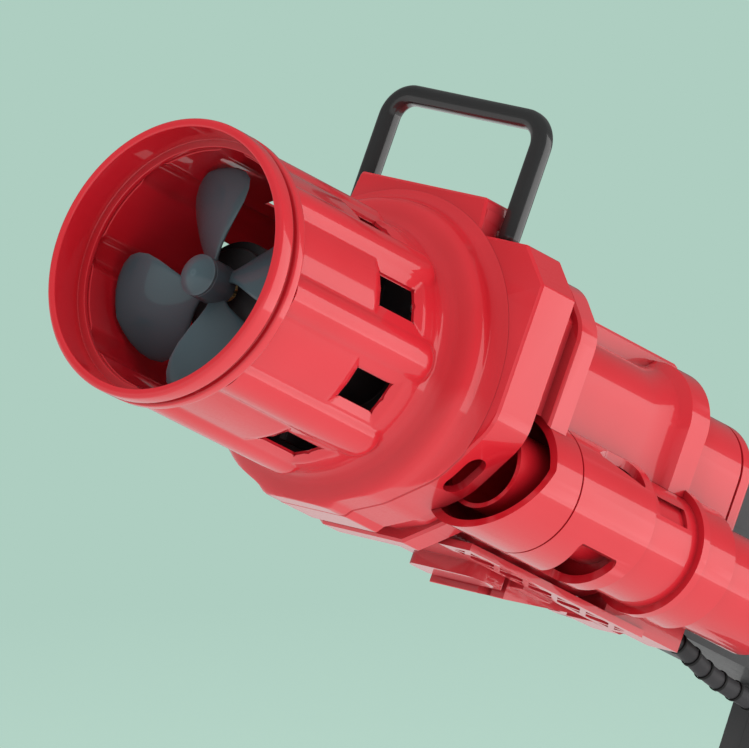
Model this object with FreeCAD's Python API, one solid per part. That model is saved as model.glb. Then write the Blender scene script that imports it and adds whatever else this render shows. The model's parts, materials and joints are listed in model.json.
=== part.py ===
import FreeCAD, Part
import math
import os

# Hand-held bubble blower in the shape of a rotary cannon.
# Millimetres. The origin is on the barrel axis at the muzzle's front plane.
# The muzzle faces -Y, Y grows towards the grip, +X is the toy's left, +Z is up.

V = FreeCAD.Vector

# ---- driving dimensions -------------------------------------------------

gap = 0.05                    # clearance left between pieces that only touch
run = 0.06                    # radial clearance of turning and sliding fits
wall = 2.4                    # moulded wall thickness

rim_r = 40.0                  # muzzle ring
rim_bore_r = 37.4
rim_len = 12.0
rim_groove = (5.5, 7.5, 38.3)
rim_lip_r = 35.0              # rear lip that closes the ring on the barrel wall

barrel_r = 36.5               # fluted barrel
barrel_bore_r = 34.5
flute_count = 8
flute_centre_r = 31.5
flute_r = 7.5
flute_bore_r = 5.4
flute_end_y = 72.0
window_y = (51.0, 67.0)
window_width = 9.8
window_bevel = 3.0
window_floor_r = 35.3         # where the bevel meets the opening

collar_y0 = 91.0              # square front collar
collar_y1 = 106.0
plate_y0 = 114.0              # second plate behind the collar's neck
body_y0 = 122.0
body_y1 = 186.5
cap_y1 = 219.0

tube_x = 40.0                 # bottle tube on the left side
tube_z = -18.0
tube_r = 19.3
tube_y = (115.0, 162.0, 185.0, 188.0, 202.0, 238.0)
tube_neck_r = 17.1
tube_sleeve_r = 18.1
tube_tail_r = 15.3
keel_z = -38.5                # underside of the keel plate

handle_x = 28.1               # folding carry handle
handle_w = 5.6
handle_top = 80.3
handle_y = 100.0
handle_z = 44.0
handle_pin_r = 1.6

fan_y = 21.0                  # fan and motor on the barrel axis
fan_tip_r = 33.3
fan_blades = 4
fan_pitch = 24.0
shaft_r = 1.0
motor_r = 12.0
motor_y = (33.0, 63.0)
pod_r = 14.8

grip_hinge = (340.0, -34.0)   # where the grip leaves the rear housing (Y, Z)
grip_lean = 12.0              # degrees the grip leans back
grip_half = 17.0
grip_y = (322.0, 359.0)
grip_bottom = -122.0
house_half = 24.0              # rear housing, above and below its side step
house_low_half = 18.0
house_step_z = -20.0
cell_r = 7.2
cell_len = 50.5

trigger_y = (310.0, 318.5)    # front and back of the trigger
stop_y = 333.3                # rib that the trigger's spring pushes on


# ---- helpers ------------------------------------------------------------

def box(x0, x1, y0, y1, z0, z1):
    return Part.makeBox(x1 - x0, y1 - y0, z1 - z0, V(x0, y0, z0))


def cyl_x(radius, x0, x1, y, z):
    return Part.makeCylinder(radius, x1 - x0, V(x0, y, z), V(1, 0, 0))


def cyl_y(radius, y0, y1, x=0.0, z=0.0):
    return Part.makeCylinder(radius, y1 - y0, V(x, y0, z), V(0, 1, 0))


def cyl_z(radius, z0, z1, x, y):
    return Part.makeCylinder(radius, z1 - z0, V(x, y, z0), V(0, 0, 1))


def ring_y(outer, inner, y0, y1, x=0.0, z=0.0):
    return cyl_y(outer, y0, y1, x, z).cut(cyl_y(inner, y0 - 1, y1 + 1, x, z))


def flip(shape):
    """The same shape on the other side of the toy."""
    return shape.mirror(V(0, 0, 0), V(1, 0, 0))


def both(shape):
    return [shape, flip(shape)]


def fuse(first, *others):
    result = first.multiFuse(list(others))
    return result.removeSplitter()


def corner_wire(corners, place):
    """Closed wire through (u, v, radius) corners, each rounded by its radius."""
    ends = []
    count = len(corners)
    for i in range(count):
        u, v, radius = corners[i]
        here = V(u, v, 0)
        before = (V(corners[i - 1][0], corners[i - 1][1], 0) - here).normalize()
        after_corner = corners[(i + 1) % count]
        after = (V(after_corner[0], after_corner[1], 0) - here).normalize()
        if radius <= 0:
            ends.append((here, None, here))
            continue
        half = before.getAngle(after) / 2
        inward = (before + after).normalize()
        reach = radius / math.tan(half)
        middle = here + inward * (radius / math.sin(half) - radius)
        ends.append((here + before * reach, middle, here + after * reach))
    edges = []
    for i in range(count):
        start, middle, end = ends[i]
        if middle is not None:
            edges.append(Part.Arc(place(start), place(middle), place(end)).toShape())
        following = ends[(i + 1) % count][0]
        if end.distanceToPoint(following) > 1e-4:
            edges.append(Part.makeLine(place(end), place(following)))
    return Part.Wire(edges)


def face_xz(corners, y):
    return Part.Face(corner_wire(corners, lambda p: V(p.x, y, p.y)))


def prism_y(corners, y0, y1):
    return face_xz(corners, y0).extrude(V(0, y1 - y0, 0))


def prism_x(corners, x0, x1):
    face = Part.Face(corner_wire(corners, lambda p: V(x0, p.x, p.y)))
    return face.extrude(V(x1 - x0, 0, 0))


def prism_z(corners, z0, z1):
    face = Part.Face(corner_wire(corners, lambda p: V(p.x, p.y, z0)))
    return face.extrude(V(0, 0, z1 - z0))


def symmetric(side):
    """Full outline from its +X half, listed from the top round to the bottom."""
    return side + [(-x, z, r) for x, z, r in reversed(side)]


def inset_prism(corners, inset, y0, y1):
    face = face_xz(corners, y0).makeOffset2D(-inset)
    return face.extrude(V(0, y1 - y0, 0))


def turned(points):
    """Solid of revolution about the barrel axis from (y, radius) points."""
    wire = Part.makePolygon([V(r, y, 0) for y, r in points + points[:1]])
    return Part.Face(wire).revolve(V(0, 0, 0), V(0, 1, 0), 360)


def screw_x(x_head, x_tip, y, z, grow=0.0):
    """Pan-head screw along X with its head at x_head."""
    way = 1 if x_tip > x_head else -1
    head_len = 2.0
    head = Part.makeCylinder(2.7 + grow, head_len, V(x_head, y, z), V(way, 0, 0))
    length = abs(x_tip - x_head) + grow
    shank = Part.makeCylinder(1.4 + grow, length, V(x_head, y, z), V(way, 0, 0))
    return head.fuse(shank).removeSplitter()


def screw_y(y_head, y_tip, x, z, grow=0.0):
    way = 1 if y_tip > y_head else -1
    head_len = 2.0
    head = Part.makeCylinder(2.5 + grow, head_len, V(x, y_head, z), V(0, way, 0))
    length = abs(y_tip - y_head) + grow
    shank = Part.makeCylinder(1.3 + grow, length, V(x, y_head, z), V(0, way, 0))
    return head.fuse(shank).removeSplitter()


def lean(shape):
    """Turn an upright grip piece into the leaning grip's place."""
    leaned = shape.copy()
    leaned.rotate(V(0, grip_hinge[0], grip_hinge[1]), V(1, 0, 0), grip_lean)
    return leaned


def save(name, shape):
    shape.exportStep("parts/" + name + ".step")


# ---- barrel -------------------------------------------------------------

def around(shape, degrees):
    turned_shape = shape.copy()
    turned_shape.rotate(V(0, 0, 0), V(0, -1, 0), degrees)
    return turned_shape


def rim_ring():
    """Muzzle ring that holds the film: two beads with a groove between them."""
    groove0, groove1, groove_r = rim_groove
    soft = 0.9
    body = turned([(0, rim_bore_r), (0, rim_r - soft), (soft, rim_r),
                   (groove0 - soft, rim_r), (groove0, rim_r - soft), (groove0, groove_r),
                   (groove1, groove_r), (groove1, rim_r - soft), (groove1 + soft, rim_r - 0.2),
                   (rim_len - soft, rim_r - 0.2), (rim_len, rim_r - 2 * soft),
                   (rim_len, rim_lip_r), (rim_len - 1.6, rim_lip_r),
                   (rim_len - 1.6, rim_bore_r)])
    return body


def flute(radius, start):
    bar = cyl_y(radius, start, flute_end_y, flute_centre_r, 0)
    nose = Part.makeSphere(radius, V(flute_centre_r, flute_end_y, 0))
    return bar.fuse(nose)


def flange_profile():
    """Barrel root: fillet to a crisp edge, a rounded shoulder, fillet to the collar."""
    y_edge = 81.5
    edge_r = 41.3
    start = V(barrel_r - 0.5, 74.0, 0)
    edge = V(edge_r, y_edge, 0)
    shoulder = V(45.6, 86.0, 0)
    root = V(49.8, collar_y0 - gap, 0)
    base_in = V(barrel_bore_r, collar_y0 - gap, 0)
    top_in = V(barrel_bore_r, 74.0, 0)
    sweep = Part.Arc(start, V(barrel_r + 1.2, 79.4, 0), edge).toShape()
    dome = Part.Arc(edge, V(44.6, 83.2, 0), shoulder).toShape()
    foot = Part.Arc(shoulder, V(46.8, 89.3, 0), root).toShape()
    lines = [Part.makeLine(root, base_in), Part.makeLine(base_in, top_in),
             Part.makeLine(top_in, start)]
    wire = Part.Wire([sweep, dome, foot] + lines)
    root = Part.Face(wire).revolve(V(0, 0, 0), V(0, 1, 0), 360)
    return root.common(prism_y(symmetric(collar_side), 70.0, collar_y0))


def window_cutter():
    """Opening through one barrel panel, bevelled outwards."""
    half = window_width / 2
    y0, y1 = window_y
    through = box(25, 45, y0, y1, -half, half)
    deep = window_floor_r
    out = barrel_r + 1.5
    grow = window_bevel * (out - deep) / (barrel_r - deep)

    def rectangle(x, extra):
        return Part.makePolygon([V(x, y0 - extra, -half - extra), V(x, y1 + extra, -half - extra),
                                 V(x, y1 + extra, half + extra), V(x, y0 - extra, half + extra),
                                 V(x, y0 - extra, -half - extra)])

    bevel = Part.makeLoft([rectangle(deep, 0), rectangle(out, grow)], True, True)
    return through.fuse(bevel)


def fluted_barrel():
    y0 = rim_len + gap
    step = 360.0 / flute_count
    outer = cyl_y(barrel_r, y0, 80.0)
    ribs = [around(flute(flute_r, y0), step * k) for k in range(flute_count)]
    solid = fuse(outer, flange_profile(), *ribs)
    bore = cyl_y(barrel_bore_r, y0 - 1, collar_y0 + 1)
    grooves = [around(flute(flute_bore_r, y0 - 1), step * k) for k in range(flute_count)]
    windows = [around(window_cutter(), step * (k + 0.5)) for k in range(flute_count)]
    hollow = bore.multiFuse(grooves + windows)
    return solid.cut(hollow)


# ---- fan and motor ------------------------------------------------------

def fan_blade():
    """Wide rounded blade, cambered and pitched about its radius."""
    root_r = 5.0
    half_root = math.radians(16)
    half_tip = math.radians(33)

    def polar(r, a):
        return V(r * math.cos(a), 0, r * math.sin(a))

    side_r = 24.0
    tip = Part.Arc(polar(side_r, -half_tip), polar(fan_tip_r, 0), polar(side_r, half_tip))
    side = Part.Arc(polar(side_r, half_tip), polar(14.0, half_tip * 1.02), polar(root_r, half_root))
    back = Part.Arc(polar(root_r, -half_root), polar(14.0, -half_tip * 1.02),
                    polar(side_r, -half_tip))
    root = Part.makeLine(polar(root_r, half_root), polar(root_r, -half_root))
    wire = Part.Wire([tip.toShape(), side.toShape(), root, back.toShape()])
    plan = Part.Face(wire).extrude(V(0, 30, 0))
    plan.translate(V(0, -15, 0))
    camber_r = 46.0
    thick = 1.5
    sheet = Part.makeCylinder(camber_r, 40, V(0, camber_r, 0), V(1, 0, 0))
    sheet = sheet.cut(Part.makeCylinder(camber_r - thick, 42, V(-1, camber_r, 0), V(1, 0, 0)))
    sheet.rotate(V(0, 0, 0), V(1, 0, 0), fan_pitch)
    blade = plan.common(sheet)
    blade.translate(V(0, fan_y, 0))
    return blade


def impeller():
    hub = cyl_y(6.0, fan_y - 5, fan_y + 6)
    first = 26.0
    blades = [around(fan_blade(), first + 360.0 / fan_blades * k) for k in range(fan_blades)]
    solid = fuse(hub, *blades)
    trimmed = solid.common(cyl_y(fan_tip_r, fan_y - 12, fan_y + 14))
    return trimmed.cut(cyl_y(shaft_r + gap, 0, fan_y + 20))


def hub_cap():
    y1 = fan_y - 5 - gap
    dome = Part.makeSphere(9.0, V(0, y1 + 6.2, 0))
    cap = dome.common(cyl_y(5.9, y1 - 4, y1))
    return cap.cut(cyl_y(shaft_r + gap, y1 - 1.5, y1 + 1))


def motor_shaft():
    return cyl_y(shaft_r, fan_y - 6, motor_y[1] - 3)


def motor_can():
    y0, y1 = motor_y
    can = ring_y(motor_r, motor_r - 1.0, y0, y1)
    front = ring_y(motor_r, 3.0 + gap, y0, y0 + 1.2)
    back = cyl_y(motor_r, y1 - 1.5, y1)
    return fuse(can, front, back)


def motor_bush():
    y0 = motor_y[0]
    return ring_y(3.0, shaft_r + run, y0 - 1.6, y0 + 2.4)


def motor_magnets():
    y0, y1 = motor_y
    shell = ring_y(motor_r - 1.0 - gap, 8.6, y0 + 6, y1 - 6)
    keep = box(-20, 20, y0, y1, -5.5, 5.5)
    pair = shell.common(keep)
    return Part.makeCompound(pair.Solids)


def motor_rotor():
    y0, y1 = motor_y
    core = cyl_y(8.0, y0 + 7, y1 - 7)
    slots = []
    for k in range(3):
        slots.append(around(box(5.0, 9, y0 + 6, y1 - 6, -0.9, 0.9), 120 * k))
    bore = cyl_y(shaft_r + gap, y0, y1)
    return core.cut(Part.makeCompound(slots + [bore]))


def motor_pod():
    """Housing that carries the motor on the barrel axis, with a foot on the collar."""
    y0 = motor_y[0] - 2.0
    inner_r = motor_r + 0.1
    shell = cyl_y(pod_r, y0, collar_y0 - gap)
    nose = cyl_y(pod_r - 2.5, y0 - 2, y0)
    foot = cyl_y(barrel_bore_r - 0.2, collar_y0 - 3.0, collar_y0 - gap)
    web = box(-1.2, 1.2, 70, collar_y0 - 1, -30, 30)
    brace = box(-30, 30, 70, collar_y0 - 1, -1.2, 1.2)
    solid = fuse(shell, nose, foot, web, brace)
    rim = cyl_y(inner_r, motor_y[0], collar_y0 + 1)
    mouth = cyl_y(3.2, y0 - 3, motor_y[0] + 1)
    return solid.cut(rim).cut(mouth).cut(screw_cut(pod_screws(0.05)))


def pod_screws(grow=0.0):
    places = [45, 135, 225, 315]
    made = []
    for angle in places:
        a = math.radians(angle)
        made.append(screw_y(collar_y0 - 5.0, collar_y0 + 7.0, 24 * math.cos(a),
                            24 * math.sin(a), grow))
    return made


def screw_cut(screws):
    return Part.makeCompound(screws)


# ---- collar and handle --------------------------------------------------

collar_side = [(23.6, 52.0, 1.2), (25.0, 41.5, 0.6), (43.0, 41.5, 1.6), (53.0, 31.5, 1.6),
               (53.0, -10.0, 16.0), (40.0, -27.5, 22.0), (24.5, -37.5, 20.0),
               (14.2, -41.5, 1.0), (12.2, -43.6, 1.2)]
neck_side = [(40.0, 36.0, 2.0), (48.0, 27.0, 2.0), (48.0, -10.0, 14.0), (36.0, -27.0, 18.0),
             (22.0, -37.0, 12.0), (12.0, -40.0, 3.0)]
plate_side = [(40.5, 38.5, 12.0), (52.0, 26.5, 12.0), (52.0, -10.0, 14.0),
              (38.0, -29.0, 18.0), (22.0, -39.0, 10.0), (15.0, -43.3, 1.0)]
body_side = [(42.0, 29.0, 15.0), (42.0, -24.0, 12.0), (22.0, -35.5, 8.0)]
flange_side = [(46.0, 33.0, 17.0), (46.0, -24.0, 12.0), (22.0, -35.5, 8.0)]
cap_side = [(40.0, 26.5, 16.0), (40.0, -24.0, 12.0), (22.0, -31.0, 6.0)]


def tube_space(grow):
    """Room that the bottle tube needs in the pieces it passes through."""
    x, z = tube_x, tube_z
    y1, y2, y3, y4, y5 = tube_y[1:]
    front = cyl_y(tube_r + grow, tube_y[0] - 20, y1 + 0.5, x, z)
    neck = cyl_y(tube_neck_r + grow, y1, y2, x, z)
    disc = cyl_y(tube_r + grow, y2 - grow, y3 + grow, x, z)
    sleeve = cyl_y(tube_sleeve_r + grow, y3, y4 + grow, x, z)
    tail = cyl_y(tube_tail_r + grow, y4, y5 + grow, x, z)
    return [front, neck, disc, sleeve, tail]


def port_cutter():
    """Oval opening in the lower side of the collar."""
    slot = [(-7.0, -3.7, 3.69), (7.0, -3.7, 3.69), (7.0, 3.7, 3.69), (-7.0, 3.7, 3.69)]
    cutter = prism_z(slot, -12, 12)
    cutter.rotate(V(0, 0, 0), V(0, 1, 0), 37 - 90)
    cutter.translate(V(42.5, (collar_y0 + collar_y1) / 2, -24.0))
    return cutter


def handle_notch():
    half = handle_w / 2
    x0 = handle_x - half - 0.35
    x1 = handle_x + half + 1.2
    return box(x0, x1, handle_y - half - 1.6, collar_y1 + 1, handle_z - 4.2, 56)


def front_collar():
    y0, y1 = collar_y0, collar_y1
    block = prism_y(symmetric(collar_side), y0, y1)
    rim_edges = [e for e in block.Edges if e.BoundBox.YMax < y0 + 0.01]
    block = block.makeChamfer(0.7, rim_edges)
    hollow = inset_prism(symmetric(collar_side), wall, y0 + wall, y1 + 1)
    pads = both(box(15.0, 34.5, y0 + 1, y1, 35.0, 41.6))
    bosses = both(box(15.0, 24.4, y0 + 1, y1, 35.0, 49.0))
    shell = block.cut(hollow)
    shell = fuse(shell, *(pads + bosses))
    posts = []
    for x, z in collar_posts():
        posts.append(cyl_y(3.6, y0 + 1, y1, x, z))
    pod_posts = [cyl_y(3.2, y0 + 1, y1 - 3, s.BoundBox.Center.x, s.BoundBox.Center.z)
                 for s in pod_screws()]
    shell = fuse(shell, *(posts + pod_posts))
    pin_holes = both(cyl_x(handle_pin_r + run, 17.0, 30.0, handle_y, handle_z))
    cuts = both(handle_notch()) + pin_holes + both(port_cutter())
    cuts = cuts + [cyl_y(3.2, y0 - 1, y0 + 4)] + pod_screws(gap) + collar_screws(gap)
    return shell.cut(Part.makeCompound(cuts))


def collar_posts():
    return [(42.6, 22.0), (-42.6, 22.0), (20.0, -30.0), (-20.0, -30.0)]


def collar_screws(grow=0.0):
    made = []
    for x, z in collar_posts():
        made.append(screw_y(plate_y0 + 1.0, collar_y0 + 5.0, x, z, grow))
    return made


def carry_handle():
    """Bail with rounded corners; its feet turn on two pins in the collar."""
    half = handle_w / 2
    out = handle_x + half
    inside = handle_x - half
    foot = handle_z - half
    outline = [(out, handle_top, 10.0), (out, foot, half - 0.02), (inside, foot, half - 0.02),
               (inside, handle_top - handle_w, 4.4)]
    bail = prism_y(symmetric(outline), handle_y - half, handle_y + half)
    soft = 2.1
    edges = [e for e in bail.Edges if e.BoundBox.YLength < 0.01]
    bail = bail.makeFillet(soft, edges)
    holes = both(cyl_x(handle_pin_r + 0.02, inside - 1, inside + 4.5, handle_y, handle_z))
    return bail.cut(Part.makeCompound(holes))


def handle_pins():
    pin = cyl_x(handle_pin_r, 18.0, handle_x - handle_w / 2 + 4.4, handle_y, handle_z)
    return Part.makeCompound(both(pin))


def collar_frame():
    """Neck and second plate, one frame that the collar and the body screw to."""
    neck = prism_y(symmetric(neck_side), collar_y1 + gap, plate_y0 + 0.5)
    plate = prism_y(symmetric(plate_side), plate_y0, body_y0)
    edges = [e for e in plate.Edges
             if e.BoundBox.YLength < 0.01 and abs(e.BoundBox.YMin - plate_y0) < 0.01]
    plate = plate.makeChamfer(0.8, edges)
    solid = fuse(neck, plate)
    hollow = inset_prism(symmetric(neck_side), wall, collar_y1 + wall, plate_y0 - 0.5)
    wire_hole = cyl_y(6.0, collar_y1 - 1, plate_y0)
    opening = inset_prism(symmetric(body_side), 8.0, plate_y0 - 1, body_y0 + 1)
    deck = inset_prism(symmetric(plate_side), wall, plate_y0 + 3.2, body_y0 + 1)
    posts = [cyl_y(3.6, collar_y1 + gap, plate_y0 + 1, x, z) for x, z in collar_posts()]
    solid = solid.cut(Part.makeCompound([hollow, opening, deck, wire_hole]))
    solid = fuse(solid, *posts)
    cuts = tube_space(gap) + collar_screws(gap)
    return solid.cut(Part.makeCompound(cuts))


# ---- main body ----------------------------------------------------------

def flared(side_from, side_to, y0, y1):
    """Loft whose outline swells along a quarter-round from one outline to another."""
    sections = []
    steps = 5
    for i in range(steps):
        t = i / (steps - 1.0)
        swell = 1.0 - math.cos(math.asin(t)) if t < 1 else 1.0
        side = []
        for a, b in zip(side_from, side_to):
            side.append((a[0] + (b[0] - a[0]) * swell, a[1] + (b[1] - a[1]) * swell,
                         a[2] + (b[2] - a[2]) * swell))
        y = y0 + (y1 - y0) * t
        sections.append(corner_wire(symmetric(side), lambda p, y=y: V(p.x, y, p.y)))
    return Part.makeLoft(sections, True, True)


def body_shape():
    y0 = body_y0 + gap
    middle = prism_y(symmetric(body_side), y0, 180.0)
    flare = flared(body_side, flange_side, 166.0, 178.0)
    flange = prism_y(symmetric(flange_side), 178.0, body_y1)
    solid = fuse(middle, flare, flange)
    hollow = inset_prism(symmetric(body_side), wall, y0 + wall, body_y1 - wall)
    front_hole = inset_prism(symmetric(body_side), 9.0, y0 - 1, y0 + wall + 1)
    rear_hole = cyl_y(6.0, body_y1 - wall - 1, body_y1 + 1)
    rail_slot = box(-26.1, 26.1, y0 - 1, body_y1 + 1, 27.6, 40)
    cuts = [hollow, front_hole, rear_hole, rail_slot] + tube_space(gap)
    return solid.cut(Part.makeCompound(cuts))


def body_half(sign):
    """One clamshell half, with screw posts that meet at the middle plane."""
    reach = 80.0
    keep = box(gap / 2, reach, 0, 300, -reach, reach)
    if sign < 0:
        keep = flip(keep)
    half = body_shape().common(keep)
    posts = []
    for y, z in body_posts():
        post = cyl_x(3.6, gap / 2, 20.0, y, z)
        top, bottom = (27.2, z) if z > 0 else (z, -34.0)
        web = box(gap / 2, 20.0, y - 1.2, y + 1.2, bottom, top)
        joined = fuse(post, web)
        posts.append(joined if sign > 0 else flip(joined))
    half = fuse(half, *posts)
    return half.cut(Part.makeCompound(shell_screws_list(gap)))


def body_posts():
    return [(132.0, 20.0), (176.0, 20.0), (132.0, -26.0), (176.0, -26.0)]


def shell_screws_list(grow=0.0):
    return [screw_x(-17.0, 12.0, y, z, grow) for y, z in body_posts()]


def top_rail():
    """Flat rail on top of the body, with a step behind the second plate."""
    y0 = body_y0 + gap
    rail = box(-26, 26, y0, 188.5, 27.65, 35.0)
    edges = [e for e in rail.Edges if e.BoundBox.ZMin > 34.9]
    rail = rail.makeChamfer(0.8, edges)
    recess = [(18.0, y0 + 8, 4.0), (18.0, 180.0, 4.0), (-18.0, 180.0, 4.0), (-18.0, y0 + 8, 4.0)]
    return rail.cut(prism_z(recess, 34.0, 36.0))


def rear_cap():
    y0 = body_y1 + gap
    solid = prism_y(symmetric(cap_side), y0, cap_y1)
    edges = [e for e in solid.Edges if e.BoundBox.YMin > cap_y1 - 0.01]
    solid = solid.makeFillet(2.0, edges)
    band = prism_y(symmetric(cap_side), cap_y1 - 6.2, cap_y1 - 5.2)
    band = band.cut(inset_prism(symmetric(cap_side), 0.7, cap_y1 - 7, cap_y1 - 5))
    hollow = inset_prism(symmetric(cap_side), wall, y0 + wall, cap_y1 - wall)
    rear_hole = cyl_y(6.0, y0 - 1, cap_y1 + 1)
    rail_room = box(-26.1, 26.1, y0 - 1, 188.6, 27.6, 40)
    cuts = [band, hollow, rear_hole, rail_room] + tube_space(gap)
    return solid.cut(Part.makeCompound(cuts))


# ---- bottle tube --------------------------------------------------------

def tube_front():
    """Open-mouthed front length of the bottle tube, with its feed pipe and two openings."""
    y0, y1 = tube_y[0], tube_y[1]
    x, z = tube_x, tube_z
    shell = ring_y(tube_r, tube_r - wall, y0 - 12.0, y1, x, z)
    slant = prism_x([(y0 - 20, z + 40, 0.0), (y0, z + 40, 0.0), (y0, z + 4.0, 0.0),
                     (y0 - 12.0, z - 19.5, 0.0), (y0 - 20, z - 19.5, 0.0)], x - 25, x + 25)
    collar_room = inset_prism(symmetric(collar_side), -0.1, collar_y0 - 1, collar_y1 + gap)
    seam = ring_y(tube_r + 1, tube_r - 0.5, y0 + 12.0, y0 + 12.7, x, z)
    upper = prism_z([(x + 12.0, y1 - 25.0, 0.8), (x + 15.3, y1 - 4.0, 0.8),
                     (x + 7.0, y1 - 4.0, 4.0), (x + 7.5, y1 - 16.0, 5.0)], z + 9.0, z + 40)
    lower = prism_z([(x + 16.4, y1 - 24.0, 0.8), (x + 16.4, y1 - 6.0, 2.0),
                     (x - 4.0, y1 - 6.0, 3.0), (x - 7.0, y1 - 15.0, 2.0)], z - 30, z - 10.2)
    shell = shell.cut(Part.makeCompound([slant, collar_room, seam, upper, lower]))
    disc = cyl_y(tube_r, y1 - 2.2, y1, x, z)
    pipe = ring_y(12.5, 11.2, y0 - 7.5, y1 - 1, x, z)
    return fuse(shell, disc, pipe)


def tube_rear():
    """Stepped rear length of the bottle tube, closed at the back."""
    x, z = tube_x, tube_z
    y1, y2, y3, y4, y5 = tube_y[1:]
    neck = cyl_y(tube_neck_r, y1 + gap, y2, x, z)
    disc = cyl_y(tube_r, y2, y3, x, z)
    sleeve = cyl_y(tube_sleeve_r, y3, y4, x, z)
    tail = cyl_y(tube_tail_r, y4, y5, x, z)
    tail = tail.makeFillet(1.5, [e for e in tail.Edges if e.BoundBox.YMin > y5 - 0.01])
    solid = fuse(neck, disc, sleeve, tail)
    hollow = cyl_y(tube_r - 7.0, y1 + 2.4, y5 - 2.4, x, z)
    recess = box(x - 3.5, x + 30, y1 + 5, y1 + 18, z + 7.0, z + 12.0)
    recess = recess.cut(cyl_y(tube_r - 3.4, y1, y2, x, z))
    return solid.cut(Part.makeCompound([hollow, recess]))


# ---- belly --------------------------------------------------------------

def belly_plate():
    """Keel plate under the body, with stepped teeth and a tapered tail."""
    y0 = body_y0 + gap
    top = -35.55
    outline = [(19.0, y0, 0.5), (19.0, 232.0, 2.0), (12.0, 227.0, 1.5), (0.0, 216.0, 1.5),
               (-2.0, 206.0, 1.0), (-2.0, 196.0, 0.5), (-19.0, 194.5, 0.5), (-19.0, y0, 0.5)]
    keel = prism_z(outline, keel_z, top)
    tail_top = box(9.0, 19.0, 211.0, 224.0, top - 0.5, -33.0)
    rise = prism_x([(206.0, keel_z, 0.0), (236.0, keel_z + 2.4, 0.0), (236.0, -50.0, 0.0),
                    (206.0, -50.0, 0.0)], -25.0, 25.0)
    tooth = prism_z([(14.0, 150.5, 5.0), (14.0, 162.5, 1.0), (-14.0, 162.5, 1.0),
                     (-14.0, 150.5, 5.0)], -42.6, -38.0)
    wedge = prism_x([(164.0, -44.6, 0.3), (195.5, -39.2, 0.3), (195.5, -38.0, 0.0),
                     (164.0, -38.0, 0.0)], -13.8, 13.8)
    side_block = prism_x([(165.0, -40.6, 0.3), (178.0, -40.6, 0.3), (182.0, -38.0, 0.0),
                          (165.0, -38.0, 0.0)], 12.0, 18.8)
    shelf = prism_x([(199.0, -39.6, 0.2), (212.0, -39.4, 0.2), (216.0, -37.0, 0.0),
                     (199.0, -37.0, 0.0)], 8.0, 18.0)
    keel = keel.cut(rise)
    solid = fuse(keel, tail_top, tooth, wedge, side_block, flip(side_block), shelf)
    notches = [box(4.0, 9.0, 163.0, 169.0, -50, -41.0), box(-11.0, -6.0, 176.0, 181.0, -50, -40.6),
               box(-3.0, 3.0, 199.0, 202.5, -50, -30), box(2.0, 7.0, 186.0, 200.0, -50, -37.6)]
    return solid.cut(Part.makeCompound(notches))


def slat(y0, y1, x0, x1, z0, z1):
    """Thin bar from (x0, y0) to (x1, y1), standing between two heights."""
    across = V(x1 - x0, y1 - y0, 0)
    bar = Part.makeBox(across.Length, 1.8, z1 - z0, V(0, -0.9, z0))
    bar.rotate(V(0, 0, 0), V(0, 0, 1), math.degrees(math.atan2(y1 - y0, x1 - x0)))
    bar.translate(V(x0, y0, 0))
    return bar


def belly_truss():
    """Open truss that bridges the keel and the underside of the bottle tube."""
    z0, z1 = keel_z - 1.2, keel_z + 0.9
    inner, outer = 19.1, 31.0
    start, end = 124.0, 206.0
    rails = [box(inner, inner + 2.4, start, end, z0, z1), box(outer - 3.0, outer, start, end, z0, z1)]
    bars = []
    bays = 6
    bay = (end - start) / bays
    for k in range(bays):
        near = start + bay * k + 1
        far = near + bay - 2
        bars.append(slat(near, far, inner + 1, outer - 1.5, z0, z1))
        bars.append(slat(far, near, inner + 1, outer - 1.5, z0, z1))
    ties = [box(inner, outer, y, y + 3, z0, z1) for y in (start, end - 3)]
    socket = box(inner, 30.0, 188.0, 223.9, -38.8, -31.2)
    plug = hose_points[0]
    socket = socket.cut(cyl_y(3.2 + gap, 211.9, 230.0, plug.x, plug.z))
    solid = fuse(rails[0], rails[1], *(ties + bars + [socket]))
    return solid.cut(Part.makeCompound(tube_space(gap)))


# ---- hose ---------------------------------------------------------------

hose_r = 2.7
hose_points = [V(24.6, 224.0, -35.0), V(24.6, 244.0, -38.6), V(24.6, 262.0, -40.3),
               V(24.8, 290.0, -42.0), V(26.2, 312.0, -38.0), V(27.5, 320.0, -26.0)]


def hose_curve():
    curve = Part.BSplineCurve()
    curve.interpolate(Points=hose_points, InitialTangent=V(0, 1, 0), FinalTangent=V(0, 0, 1))
    return curve


def hose_section(radius):
    curve = hose_curve()
    wire = Part.Wire([curve.toShape()])
    start = curve.value(curve.FirstParameter)
    along = curve.tangent(curve.FirstParameter)[0]
    circle = Part.Wire([Part.Circle(start, along, radius).toShape()])
    return wire.makePipeShell([circle], True, False)


def cable_hose():
    return hose_section(hose_r).cut(hose_section(1.6))


def hose_rings():
    curve = hose_curve()
    span = curve.LastParameter - curve.FirstParameter
    rings = []
    count = 13
    for k in range(count):
        t = curve.FirstParameter + span * (k + 0.6) / (count + 0.2)
        centre = curve.value(t)
        along = curve.tangent(t)[0]
        outer = Part.makeCylinder(hose_r + 0.4, 1.0, centre - along * 0.5, along)
        inner = Part.makeCylinder(hose_r + 0.08, 4, centre - along * 2, along)
        rings.append(outer.cut(inner))
    return Part.makeCompound(rings)


def hose_sockets():
    """Round bosses that the hose plugs into, at the keel and on the rear housing."""
    first, last = hose_points[0], hose_points[-1]
    front = cyl_y(3.2, 212.0, first.y - gap, first.x, first.z)
    front = front.cut(Part.makeCompound(tube_space(gap)))
    rear = cyl_z(4.6, last.z + gap, last.z + 13.0, last.x, last.y)
    return front, rear


# ---- rear housing and grip ----------------------------------------------

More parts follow.
